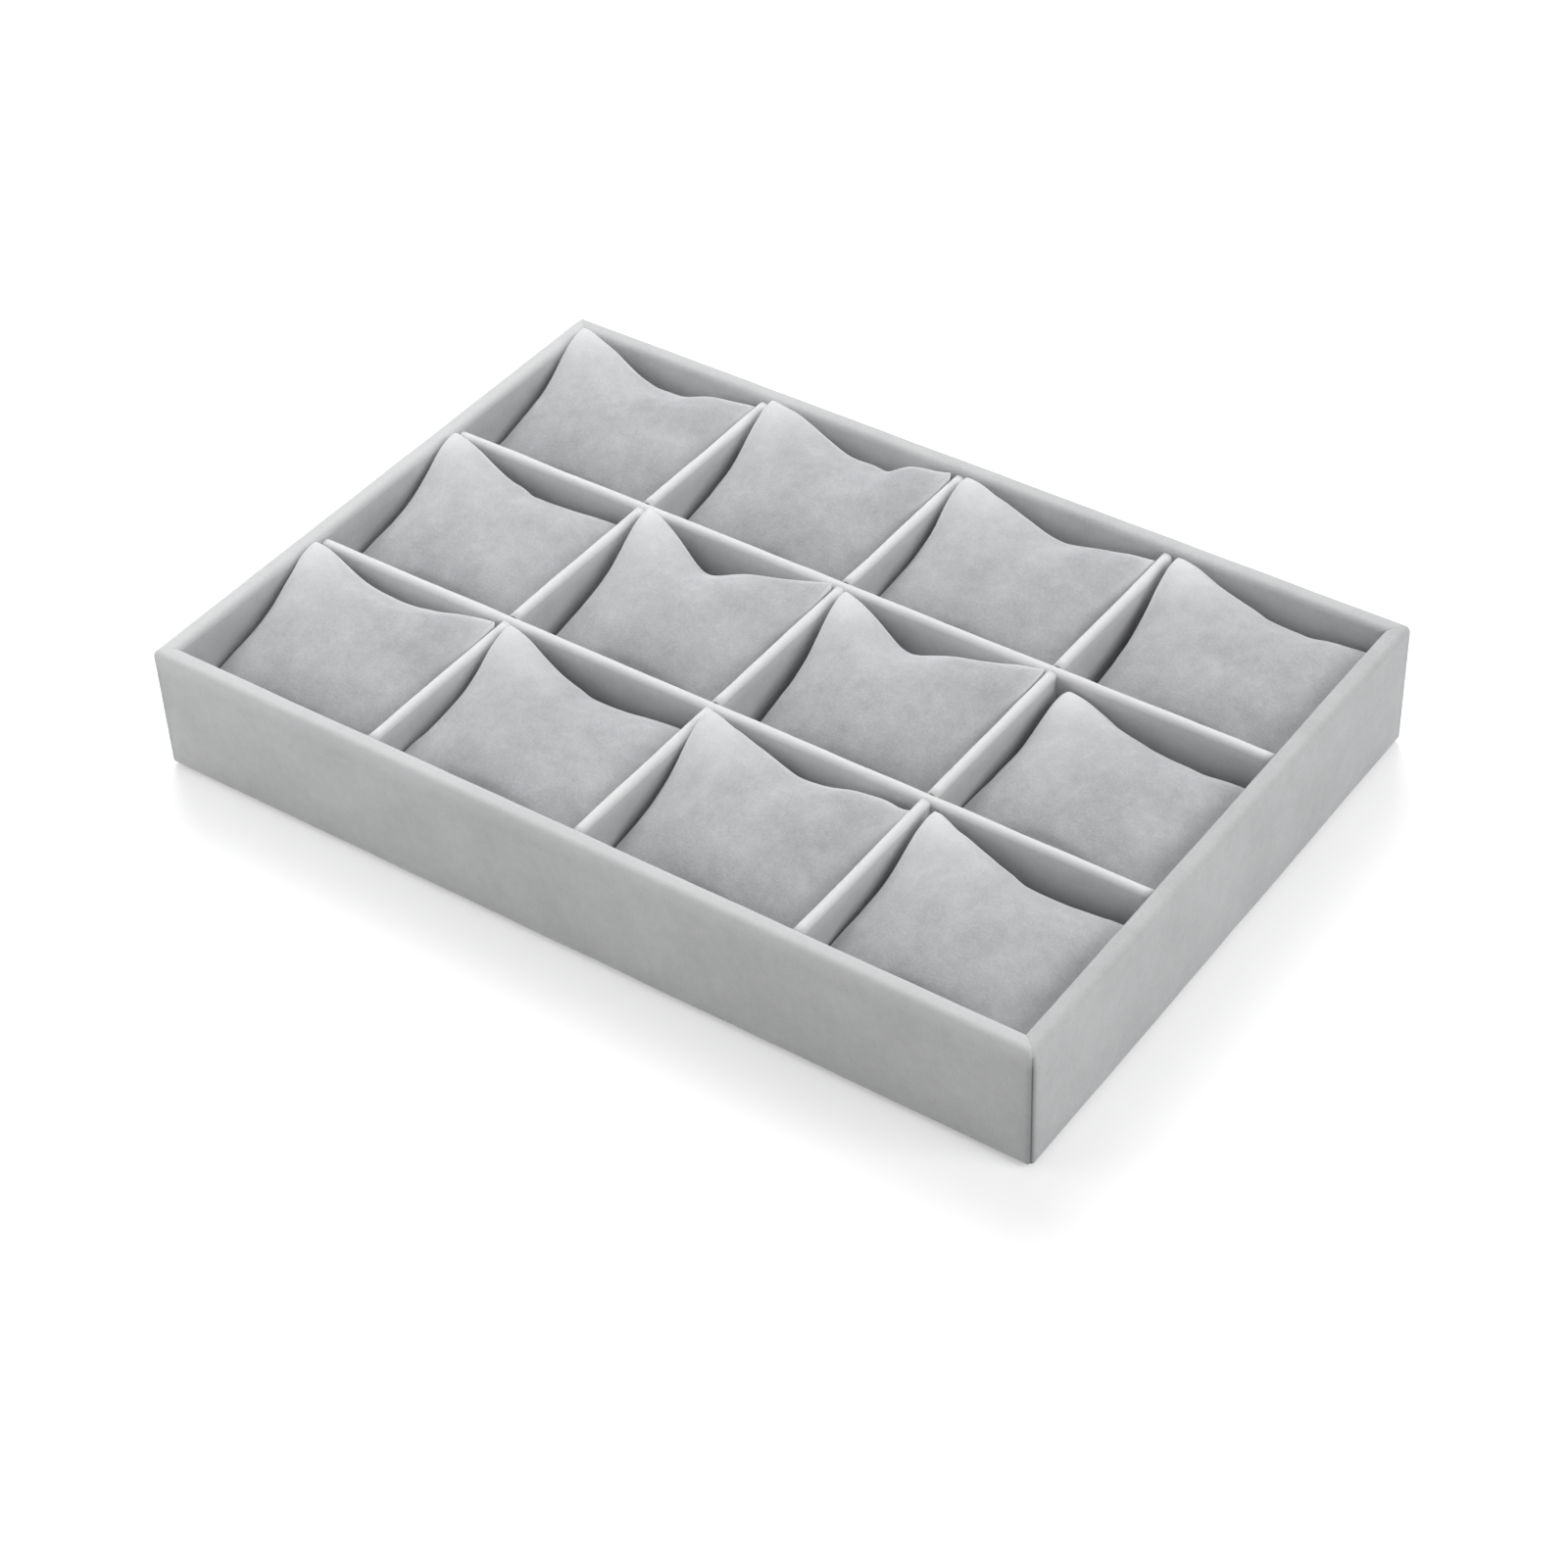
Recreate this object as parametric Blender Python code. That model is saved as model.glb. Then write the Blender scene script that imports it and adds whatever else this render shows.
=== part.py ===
import math

import bmesh
import bpy

# Driving sizes in metres, +Z up, origin at the middle of the underside
TRAY_LENGTH = 0.350
TRAY_WIDTH = 0.240
TRAY_HEIGHT = 0.050
COLUMNS = 4
ROWS = 3
VELVET = 0.0008
GLUE_GAP = 0.0003
WALL_BOARD = 0.0050
BASE_BOARD = 0.0030
BASE_SHEET_INSET = 0.0040
HEM_WIDTH = 0.0140
RIM_RADIUS = 0.0026
CORNER_RADIUS = 0.0012
DIVIDER_CORE = 0.0020
DIVIDER_DROP = 0.0020
SLOT_CLEARANCE = 0.0003
CUT_MARGIN = 0.0100

# Pillow shape, measured from the middle of its compartment
PILLOW_CLEARANCE = 0.0003
PILLOW_END_GAP = 0.001075
PILLOW_EDGE_GAP = 0.0020
PILLOW_TILT = math.radians(9.0)
PILLOW_SEAM_DROP = 0.0132
PILLOW_CROWN = 0.0108
PILLOW_PLUMPNESS = 0.42
PILLOW_SIDE_PINCH = 0.0024
PILLOW_FRONT_PINCH = 0.0045
PILLOW_BACK_PINCH = 0.0036
PILLOW_EDGE_CURVE = 1.9
PILLOW_EAR_LIFT = 0.0072
PILLOW_EAR_CURVE = 1.4
PILLOW_BLUNTING = 0.04
PILLOW_DENT_WIDTH = 0.24
PILLOW_CELLS = 12

# Heights of the stack, from the underside up
HEM_BOTTOM = VELVET + GLUE_GAP
HEM_TOP = HEM_BOTTOM + VELVET
BASE_BOTTOM = HEM_TOP + GLUE_GAP
BASE_TOP = BASE_BOTTOM + BASE_BOARD
FLOOR_BOTTOM = BASE_TOP + GLUE_GAP
FLOOR_TOP = FLOOR_BOTTOM + VELVET
BOARD_TOP = TRAY_HEIGHT - VELVET - GLUE_GAP
DIVIDER_BOTTOM = FLOOR_TOP + GLUE_GAP
DIVIDER_TOP = TRAY_HEIGHT - DIVIDER_DROP
LAP_HEIGHT = (DIVIDER_BOTTOM + DIVIDER_TOP) / 2

# Widths across the walls, dividers and compartments
SKIN = VELVET + GLUE_GAP
WALL = WALL_BOARD + 2 * SKIN
DIVIDER = DIVIDER_CORE + 2 * SKIN
INNER_LENGTH = TRAY_LENGTH - 2 * WALL
INNER_WIDTH = TRAY_WIDTH - 2 * WALL
CELL_LENGTH = (INNER_LENGTH - (COLUMNS - 1) * DIVIDER) / COLUMNS
CELL_WIDTH = (INNER_WIDTH - (ROWS - 1) * DIVIDER) / ROWS
COLUMN_STEP = CELL_LENGTH + DIVIDER
ROW_STEP = CELL_WIDTH + DIVIDER

# Pillows filling their compartments, with the seam below the dividers' top edges
PILLOW_HALF_LENGTH = CELL_LENGTH / 2 - PILLOW_END_GAP
PILLOW_HALF_DEPTH = CELL_WIDTH / 2 - PILLOW_EDGE_GAP
PILLOW_CENTRE_Z = DIVIDER_TOP - PILLOW_SEAM_DROP
PILLOW_BELLY = PILLOW_CENTRE_Z - FLOOR_TOP

for old in list(bpy.data.objects):
    bpy.data.objects.remove(old, do_unlink=True)

tray = bpy.data.objects.new("tray", None)
bpy.context.scene.collection.objects.link(tray)


def make_material(name, colour, roughness):
    material = bpy.data.materials.new(name)
    material.use_nodes = True
    shader = material.node_tree.nodes["Principled BSDF"]
    shader.inputs["Base Color"].default_value = (*colour, 1.0)
    shader.inputs["Roughness"].default_value = roughness
    material.diffuse_color = (*colour, 1.0)
    return material


def finish_mesh(name, shape, material=None, sharp_angle=40.0):
    # Turn the faces outwards and hand the shape over as a smooth-shaded mesh
    bmesh.ops.recalc_face_normals(shape, faces=shape.faces)
    if shape.calc_volume(signed=True) < 0:
        bmesh.ops.reverse_faces(shape, faces=shape.faces)
    mesh = bpy.data.meshes.new(name)
    shape.to_mesh(mesh)
    shape.free()
    mesh.shade_smooth()
    mesh.set_sharp_from_angle(angle=math.radians(sharp_angle))
    if material:
        mesh.materials.append(material)
    return mesh


def place(name, mesh, location=(0.0, 0.0, 0.0), turn=0.0):
    placed = bpy.data.objects.new(name, mesh)
    placed.location = location
    placed.rotation_euler.z = math.radians(turn)
    placed.parent = tray
    bpy.context.scene.collection.objects.link(placed)
    return placed


def add_box(shape, low, high):
    cube = bmesh.ops.create_cube(shape, size=1.0)
    for vertex in cube["verts"]:
        for axis in range(3):
            middle = (low[axis] + high[axis]) / 2
            vertex.co[axis] = middle + vertex.co[axis] * (high[axis] - low[axis])


def sheet_mesh(name, length, width, thickness, material):
    shape = bmesh.new()
    add_box(shape, (-length / 2, -width / 2, 0.0), (length / 2, width / 2, thickness))
    return finish_mesh(name, shape, material)


def plate_mesh(name, length, depth, heights, top_round, round_ends, material):
    # An upright plate along X between two depths in Y, with its top edges rounded
    shape = bmesh.new()
    add_box(shape, (-length / 2, depth[0], heights[0]), (length / 2, depth[1], heights[1]))
    top_edges = []
    for edge in shape.edges:
        if min(v.co.z for v in edge.verts) < heights[1] - GLUE_GAP:
            continue
        runs_along = abs(edge.verts[0].co.x - edge.verts[1].co.x) > GLUE_GAP
        if runs_along or round_ends:
            top_edges.append(edge)
    bmesh.ops.bevel(
        shape, geom=top_edges, offset=top_round, segments=4, profile=0.5,
        affect="EDGES", material=-1,
    )
    return finish_mesh(name, shape, material)


def extrude_section(shape, section, steps):
    # Draw the section in the YZ plane and extrude it one unit at a time along X
    face = shape.faces.new([shape.verts.new((0.0, y, z)) for y, z in section])
    for step in range(steps):
        grown = bmesh.ops.extrude_face_region(shape, geom=[face])["geom"]
        if step > 0:
            bmesh.ops.delete(shape, geom=[face], context="FACES_ONLY")
        face = next(item for item in grown if isinstance(item, bmesh.types.BMFace))
        ends = [item for item in grown if isinstance(item, bmesh.types.BMVert)]
        bmesh.ops.translate(shape, verts=ends, vec=(1.0, 0.0, 0.0))


def arc(centre_y, centre_z, radius, start, end, steps):
    points = []
    for step in range(steps + 1):
        angle = math.radians(start + (end - start) * step / steps)
        points.append((centre_y + radius * math.cos(angle), centre_z + radius * math.sin(angle)))
    return points


# Wall covers: one velvet strip round each wall, drawn as depth from the outer face and height
def cover_section():
    inner_radius = RIM_RADIUS - VELVET
    rim_z = TRAY_HEIGHT - RIM_RADIUS
    fold = 2 * VELVET
    section = [(HEM_WIDTH, HEM_BOTTOM)]
    section += arc(fold, HEM_BOTTOM + fold, fold, 270, 180, 3)
    section += arc(RIM_RADIUS, rim_z, RIM_RADIUS, 180, 90, 5)
    section += arc(WALL - RIM_RADIUS, rim_z, RIM_RADIUS, 90, 0, 5)
    section += [(WALL, FLOOR_BOTTOM), (WALL - VELVET, FLOOR_BOTTOM)]
    section += arc(WALL - RIM_RADIUS, rim_z, inner_radius, 0, 90, 5)
    section += arc(RIM_RADIUS, rim_z, inner_radius, 90, 180, 5)
    section += arc(fold, HEM_BOTTOM + fold, fold - VELVET, 180, 270, 3)
    section += [(HEM_WIDTH, HEM_TOP)]
    return section


def cover_mesh(name, length, material):
    # Extrude the strip, then mitre both ends and bend them halfway round the tray's corners
    turns = [1.0, 2 / 3, 1 / 3, 0.0]
    stations = [(-1, turn) for turn in turns] + [(1, turn) for turn in reversed(turns)]
    shape = bmesh.new()
    extrude_section(shape, cover_section(), len(stations) - 1)
    mitre_gap = GLUE_GAP / math.sqrt(2)
    for vertex in shape.verts:
        side, turn = stations[round(vertex.co.x)]
        depth = vertex.co.y
        if depth < CORNER_RADIUS:
            radius = CORNER_RADIUS - depth
            along = length / 2 - CORNER_RADIUS + radius * math.sin(turn * math.pi / 4)
            vertex.co.y = CORNER_RADIUS - radius * math.cos(turn * math.pi / 4)
        else:
            along = length / 2 - depth - (1 - turn) * CORNER_RADIUS / 3
        vertex.co.x = side * (along - mitre_gap)
    return finish_mesh(name, shape, material)


# Dividers: a thin board in a folded velvet sleeve, both cut by the same slots
def sleeve_mesh(name, length, material):
    outer = DIVIDER / 2
    inner = outer - VELVET
    shoulder = DIVIDER_TOP - outer
    section = [(outer, DIVIDER_BOTTOM)]
    section += arc(0.0, shoulder, outer, 0, 180, 8)
    section += [(-outer, DIVIDER_BOTTOM), (-inner, DIVIDER_BOTTOM)]
    section += arc(0.0, shoulder, inner, 180, 0, 8)
    section += [(inner, DIVIDER_BOTTOM)]
    shape = bmesh.new()
    extrude_section(shape, section, 1)
    for vertex in shape.verts:
        vertex.co.x = (vertex.co.x - 0.5) * length
    return finish_mesh(name, shape, material)


def slot_cutter(name, lines, across_x, low_z, high_z):
    # One box on each crossing line, wide enough for the divider that passes through
    half = DIVIDER / 2 + SLOT_CLEARANCE
    reach = (INNER_WIDTH if across_x else INNER_LENGTH) / 2 + CUT_MARGIN
    shape = bmesh.new()
    for line in lines:
        if across_x:
            add_box(shape, (line - half, -reach, low_z), (line + half, reach, high_z))
        else:
            add_box(shape, (-reach, line - half, low_z), (reach, line + half, high_z))
    cutter = place(name, finish_mesh(name, shape))
    cutter.hide_render = True
    cutter.display_type = "WIRE"
    return cutter


def place_slotted(name, mesh, location, turn, cutter):
    placed = place(name, mesh, location, turn)
    slots = placed.modifiers.new("Slots", "BOOLEAN")
    slots.operation = "DIFFERENCE"
    slots.object = cutter


# Pillows: top and bottom sheets sewn together all round, crowned, tilted, back corners pulled up
def pillow_point(u, v, crown, traits):
    toward_back = max(0.0, v)
    back_pinch = PILLOW_BACK_PINCH + traits.get("back_pinch", 0.0)
    pinch = PILLOW_FRONT_PINCH + (back_pinch - PILLOW_FRONT_PINCH) * toward_back
    blunt = 1 - PILLOW_BLUNTING * abs(u * v) ** 10
    across = u * (PILLOW_HALF_LENGTH - PILLOW_SIDE_PINCH * (1 - v * v)) * blunt
    deep = v * (PILLOW_HALF_DEPTH - pinch * (1 - abs(u) ** PILLOW_EDGE_CURVE)) * blunt
    rise = crown * max(0.0, (1 - u * u) * (1 - v * v)) ** PILLOW_PLUMPNESS
    tilt = PILLOW_TILT + math.radians(traits.get("tilt", 0.0))
    y = deep * math.cos(tilt) - rise * math.sin(tilt)
    z = PILLOW_CENTRE_Z + deep * math.sin(tilt) + rise * math.cos(tilt)
    ear = PILLOW_EAR_LIFT + traits.get("left_ear" if u < 0 else "right_ear", 0.0)
    z += ear * abs(u) ** PILLOW_EAR_CURVE * ((1 + v) / 2) ** 2
    from_dent = (u - traits.get("dent_place", 0.0)) / PILLOW_DENT_WIDTH
    z -= traits.get("dent", 0.0) * math.exp(-from_dent * from_dent) * toward_back ** 2
    turn = math.radians(traits.get("turn", 0.0))
    x = across * math.cos(turn) - y * math.sin(turn) + traits.get("shift_x", 0.0)
    y = across * math.sin(turn) + y * math.cos(turn) + traits.get("shift_y", 0.0)
    return x, y, max(z, FLOOR_TOP + PILLOW_CLEARANCE)


def pillow_mesh(name, traits, material):
    shape = bmesh.new()
    for crown in (PILLOW_CROWN, -PILLOW_BELLY):
        grid = bmesh.ops.create_grid(shape, x_segments=PILLOW_CELLS, y_segments=PILLOW_CELLS, size=1.0)
        for vertex in grid["verts"]:
            u = math.sin(math.pi / 2 * vertex.co.x)
            v = math.sin(math.pi / 2 * vertex.co.y)
            vertex.co = pillow_point(u, v, crown, traits)
    rims = [vertex for vertex in shape.verts if vertex.is_boundary]
    bmesh.ops.remove_doubles(shape, verts=rims, dist=0.00001)
    return finish_mesh(name, shape, material, sharp_angle=60.0)


VELVET_GREY = (0.56, 0.56, 0.57)
greyboard = make_material("greyboard", (0.42, 0.40, 0.37), 0.9)
wall_velvet = make_material("wall_velvet", VELVET_GREY, 0.85)
divider_velvet = make_material("divider_velvet", VELVET_GREY, 0.85)
floor_velvet = make_material("floor_velvet", (0.50, 0.50, 0.51), 0.88)
pillow_velvet = make_material("pillow_velvet", (0.60, 0.60, 0.61), 0.85)
base_paper = make_material("base_paper", (0.33, 0.33, 0.34), 0.8)

# Bottom of the tray
sheet = sheet_mesh(
    "base_sheet", TRAY_LENGTH - 2 * BASE_SHEET_INSET, TRAY_WIDTH - 2 * BASE_SHEET_INSET,
    VELVET, base_paper,
)
place("base_sheet", sheet)
base = sheet_mesh("base_board", TRAY_LENGTH - 2 * SKIN, TRAY_WIDTH - 2 * SKIN, BASE_BOARD, greyboard)
place("base_board", base, (0.0, 0.0, BASE_BOTTOM))
lining = sheet_mesh(
    "floor_lining", INNER_LENGTH - 2 * GLUE_GAP, INNER_WIDTH - 2 * GLUE_GAP, VELVET, floor_velvet,
)
place("floor_lining", lining, (0.0, 0.0, FLOOR_BOTTOM))

# Walls: the long boards run the full length, the short ones stand between them
board_depth = (SKIN, SKIN + WALL_BOARD)
board_heights = (FLOOR_BOTTOM, BOARD_TOP)
board_round = RIM_RADIUS - SKIN
long_board = plate_mesh(
    "long_board", TRAY_LENGTH - 2 * SKIN, board_depth, board_heights, board_round, True, greyboard,
)
short_board = plate_mesh(
    "short_board", TRAY_WIDTH - 2 * (SKIN + WALL_BOARD + GLUE_GAP), board_depth, board_heights,
    board_round, False, greyboard,
)
long_cover = cover_mesh("long_cover", TRAY_LENGTH, wall_velvet)
short_cover = cover_mesh("short_cover", TRAY_WIDTH, wall_velvet)
for side, location, turn in (
    ("front", (0.0, -TRAY_WIDTH / 2, 0.0), 0.0),
    ("right", (TRAY_LENGTH / 2, 0.0, 0.0), 90.0),
    ("back", (0.0, TRAY_WIDTH / 2, 0.0), 180.0),
    ("left", (-TRAY_LENGTH / 2, 0.0, 0.0), 270.0),
):
    is_long = side in ("front", "back")
    place(f"{side}_board", long_board if is_long else short_board, location, turn)
    place(f"{side}_cover", long_cover if is_long else short_cover, location, turn)

# Dividers, half-lapped: the long ones run through on top and are slotted from below
row_lines = [(r - ROWS / 2) * ROW_STEP for r in range(1, ROWS)]
column_lines = [(c - COLUMNS / 2) * COLUMN_STEP for c in range(1, COLUMNS)]
long_slots = slot_cutter(
    "long_divider_slots", column_lines, True, -CUT_MARGIN, LAP_HEIGHT + SLOT_CLEARANCE / 2,
)
short_slots = slot_cutter(
    "short_divider_slots", row_lines, False, LAP_HEIGHT - SLOT_CLEARANCE / 2,
    TRAY_HEIGHT + CUT_MARGIN,
)
core_depth = (-DIVIDER_CORE / 2, DIVIDER_CORE / 2)
core_heights = (DIVIDER_BOTTOM, DIVIDER_TOP - SKIN)
core_round = DIVIDER_CORE / 2 * 0.9
for kind, span, lines, turn, cutter in (
    ("long", INNER_LENGTH, row_lines, 0.0, long_slots),
    ("short", INNER_WIDTH, column_lines, 90.0, short_slots),
):
    length = span - 2 * GLUE_GAP
    core = plate_mesh(f"{kind}_core", length, core_depth, core_heights, core_round, False, greyboard)
    sleeve = sleeve_mesh(f"{kind}_sleeve", length, divider_velvet)
    for number, line in enumerate(lines, 1):
        location = (0.0, line, 0.0) if kind == "long" else (line, 0.0, 0.0)
        place_slotted(f"{kind}_core_{number}", core, location, turn, cutter)
        place_slotted(f"{kind}_sleeve_{number}", sleeve, location, turn, cutter)

# Each pillow is stuffed and sits a little differently
pillow_traits = {
    "front": [
        {
            "left_ear": 0.0003, "right_ear": 0.0003, "back_pinch": -0.0008, "tilt": 3.4,
            "shift_x": -0.0013, "shift_y": -0.0001, "turn": 0.1,
        },
        {
            "left_ear": 0.0059, "right_ear": -0.0061, "back_pinch": -0.0001, "tilt": -6.1,
            "shift_x": -0.0011, "shift_y": -0.0008, "turn": -1.1,
        },
        {
            "left_ear": 0.0004, "right_ear": -0.0042, "back_pinch": -0.0004, "tilt": 3.2,
            "shift_x": -0.0013, "turn": 0.6,
        },
        {
            "left_ear": 0.0001, "right_ear": -0.0096, "back_pinch": 0.0015, "tilt": -1.5,
            "shift_x": -0.0006, "shift_y": -0.0011, "turn": -2.1,
        },
    ],
    "middle": [
        {
            "left_ear": 0.0029, "right_ear": -0.0091, "back_pinch": -0.0001, "tilt": -0.9,
            "shift_x": -0.0004, "shift_y": 0.0003, "turn": 0.7,
        },
        {
            "left_ear": 0.0021, "right_ear": 0.0023, "back_pinch": 0.0024, "tilt": 0.4,
            "shift_x": 0.0008, "shift_y": 0.0015, "turn": 0.7, "dent": 0.0055, "dent_place": -0.30,
        },
        {
            "left_ear": -0.0005, "right_ear": -0.0015, "back_pinch": 0.0026, "tilt": 4.7,
            "shift_x": 0.0008, "shift_y": 0.0016, "turn": 1.8, "dent": 0.0040, "dent_place": -0.22,
        },
        {
            "left_ear": -0.0040, "right_ear": -0.0100, "back_pinch": 0.0015, "tilt": -2.8,
            "shift_y": 0.0003, "turn": -3.5,
        },
    ],
    "back": [
        {
            "left_ear": 0.0005, "right_ear": -0.0024, "back_pinch": 0.0010, "tilt": 3.0,
            "shift_x": -0.0012, "shift_y": 0.0010,
        },
        {
            "left_ear": 0.0006, "right_ear": 0.0006, "back_pinch": 0.0006, "tilt": 3.0,
            "shift_x": 0.0002, "shift_y": 0.0008,
        },
        {
            "left_ear": 0.0017, "right_ear": -0.0007, "back_pinch": -0.0009, "tilt": 0.8,
            "shift_x": -0.0010, "shift_y": -0.0005, "turn": -1.4,
        },
        {
            "left_ear": 0.0015, "right_ear": -0.0089, "tilt": 1.3,
            "shift_x": 0.0013, "shift_y": 0.0003, "turn": 0.9,
        },
    ],
}
for row, (row_name, row_traits) in enumerate(pillow_traits.items()):
    for column, traits in enumerate(row_traits):
        name = f"pillow_{row_name}_{column + 1}"
        centre_x = (column - (COLUMNS - 1) / 2) * COLUMN_STEP
        centre_y = (row - (ROWS - 1) / 2) * ROW_STEP
        place(name, pillow_mesh(name, traits, pillow_velvet), (centre_x, centre_y, 0.0))
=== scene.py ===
import math

import bmesh
import bpy
from mathutils import Matrix, Vector, noise


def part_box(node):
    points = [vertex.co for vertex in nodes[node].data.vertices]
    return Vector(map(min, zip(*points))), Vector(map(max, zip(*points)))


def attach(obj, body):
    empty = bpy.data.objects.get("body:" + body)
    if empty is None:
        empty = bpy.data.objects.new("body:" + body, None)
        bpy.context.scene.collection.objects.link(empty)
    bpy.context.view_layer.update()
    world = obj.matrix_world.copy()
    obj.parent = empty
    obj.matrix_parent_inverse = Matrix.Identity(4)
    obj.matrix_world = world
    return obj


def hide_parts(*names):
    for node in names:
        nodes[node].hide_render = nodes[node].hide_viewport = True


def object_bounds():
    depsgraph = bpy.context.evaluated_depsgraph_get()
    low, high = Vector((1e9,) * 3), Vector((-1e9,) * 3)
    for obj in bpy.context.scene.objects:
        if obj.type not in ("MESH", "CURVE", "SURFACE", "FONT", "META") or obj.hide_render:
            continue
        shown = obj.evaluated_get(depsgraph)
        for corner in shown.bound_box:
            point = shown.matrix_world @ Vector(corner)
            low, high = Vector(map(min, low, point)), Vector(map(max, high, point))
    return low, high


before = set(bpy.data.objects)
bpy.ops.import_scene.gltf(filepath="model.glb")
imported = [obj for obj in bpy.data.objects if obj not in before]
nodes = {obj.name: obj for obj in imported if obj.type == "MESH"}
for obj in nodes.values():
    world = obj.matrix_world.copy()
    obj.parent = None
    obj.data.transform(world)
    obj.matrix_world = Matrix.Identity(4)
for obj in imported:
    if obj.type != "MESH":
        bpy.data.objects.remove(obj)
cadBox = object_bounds()
scene = bpy.context.scene
mm = 0.001

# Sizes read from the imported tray
trayLow, trayHigh = cadBox
trayLength = trayHigh.x - trayLow.x
trayWidth = trayHigh.y - trayLow.y
trayHeight = trayHigh.z
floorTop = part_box("floor_lining")[1].z
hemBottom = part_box("front_cover")[0].z
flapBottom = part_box("front_board")[0].z
boardLow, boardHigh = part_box("front_board")
wallThickness = 2 * (boardLow.y - trayLow.y) + (boardHigh.y - boardLow.y)
print("frame loaded:", len(nodes), "nodes")


# Materials
def newMaterial(name):
    material = bpy.data.materials.new(name)
    material.use_nodes = True
    return material, material.node_tree.nodes, material.node_tree.links


def scaleShare(parts, links, value, factor):
    share = parts.new("ShaderNodeMath")
    share.operation = "MULTIPLY"
    share.inputs[1].default_value = factor
    links.new(value, share.inputs[0])
    return share.outputs["Value"]


def mixTowards(parts, links, base, colour, factor):
    mix = parts.new("ShaderNodeMix")
    mix.data_type = "RGBA"
    mix.inputs["B"].default_value = (*colour, 1.0)
    links.new(base, mix.inputs["A"])
    links.new(factor, mix.inputs["Factor"])
    return mix.outputs["Result"]


def mixColours(parts, links, first, second, factor):
    mix = parts.new("ShaderNodeMix")
    mix.data_type = "RGBA"
    mix.inputs["A"].default_value = (*first, 1.0)
    mix.inputs["B"].default_value = (*second, 1.0)
    links.new(factor, mix.inputs["Factor"])
    return mix.outputs["Result"]


def makePileGroup():
    # Short brushed pile: broad nap clouds, small mottling and single tufts
    group = bpy.data.node_groups.new("velvetPile", "ShaderNodeTree")
    for name, start in (("Cloud scale", 60.0), ("Mottle scale", 260.0), ("Tuft scale", 1250.0)):
        socket = group.interface.new_socket(name, in_out="INPUT", socket_type="NodeSocketFloat")
        socket.default_value = start
    group.interface.new_socket("Shade", in_out="OUTPUT", socket_type="NodeSocketFloat")
    group.interface.new_socket("Height", in_out="OUTPUT", socket_type="NodeSocketFloat")
    new, link = group.nodes.new, group.links.new
    start = new("NodeGroupInput")
    end = new("NodeGroupOutput")
    place = new("ShaderNodeTexCoord")
    layers = []
    settings = (("Cloud scale", 3.0, 0.55), ("Mottle scale", 3.0, 0.6), ("Tuft scale", 2.0, 0.6))
    for name, detail, rough in settings:
        layer = new("ShaderNodeTexNoise")
        layer.inputs["Detail"].default_value = detail
        layer.inputs["Roughness"].default_value = rough
        link(place.outputs["Object"], layer.inputs["Vector"])
        link(start.outputs[name], layer.inputs["Scale"])
        layers.append(layer.outputs["Fac"])
    clouds, mottle, tufts = layers

    def blend(first, second, factor):
        mix = new("ShaderNodeMix")
        mix.data_type = "FLOAT"
        mix.inputs["Factor"].default_value = factor
        link(first, mix.inputs["A"])
        link(second, mix.inputs["B"])
        return mix.outputs["Result"]

    spread = new("ShaderNodeMapRange")
    spread.inputs["From Min"].default_value = 0.36
    spread.inputs["From Max"].default_value = 0.64
    link(blend(blend(clouds, mottle, 0.38), tufts, 0.34), spread.inputs["Value"])
    link(spread.outputs["Result"], end.inputs["Shade"])
    link(blend(tufts, mottle, 0.35), end.inputs["Height"])
    return group


pileGroup = makePileGroup()


def makeVelvet(name, look):
    material, parts, links = newMaterial(name)
    shader = parts["Principled BSDF"]
    pile = parts.new("ShaderNodeGroup")
    pile.node_tree = pileGroup
    pile.inputs["Cloud scale"].default_value = look["cloudScale"]
    colour = mixColours(parts, links, look["shadow"], look["light"], pile.outputs["Shade"])
    # Painted highlight where the mask is above zero, on rims, divider tops, pillow edges and ear tips;
    # painted shade where it is below zero, in the corner seam creases
    paintedLightMask = parts.new("ShaderNodeAttribute")
    paintedLightMask.attribute_name = "paintedHighlightAndShade"
    highlightShare = scaleShare(parts, links, paintedLightMask.outputs["Fac"], look["highlightShare"])
    colour = mixTowards(parts, links, colour, look["highlightColour"], highlightShare)
    creaseShadeShare = scaleShare(parts, links, paintedLightMask.outputs["Fac"], -creaseShade["share"])
    colour = mixTowards(parts, links, colour, creaseShade["colour"], creaseShadeShare)
    links.new(colour, shader.inputs["Base Color"])
    bump = parts.new("ShaderNodeBump")
    bump.inputs["Strength"].default_value = look["bump"]
    bump.inputs["Distance"].default_value = 0.5 * mm
    links.new(pile.outputs["Height"], bump.inputs["Height"])
    links.new(bump.outputs["Normal"], shader.inputs["Normal"])
    shader.inputs["Roughness"].default_value = 0.92
    shader.inputs["Specular IOR Level"].default_value = 0.10
    shader.inputs["Sheen Weight"].default_value = look["sheen"]
    shader.inputs["Sheen Roughness"].default_value = 0.35
    shader.inputs["Sheen Tint"].default_value = (0.97, 0.98, 1.0, 1.0)
    return material


# Painted shade for the corner seam creases: its colour and how strongly it darkens
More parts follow.
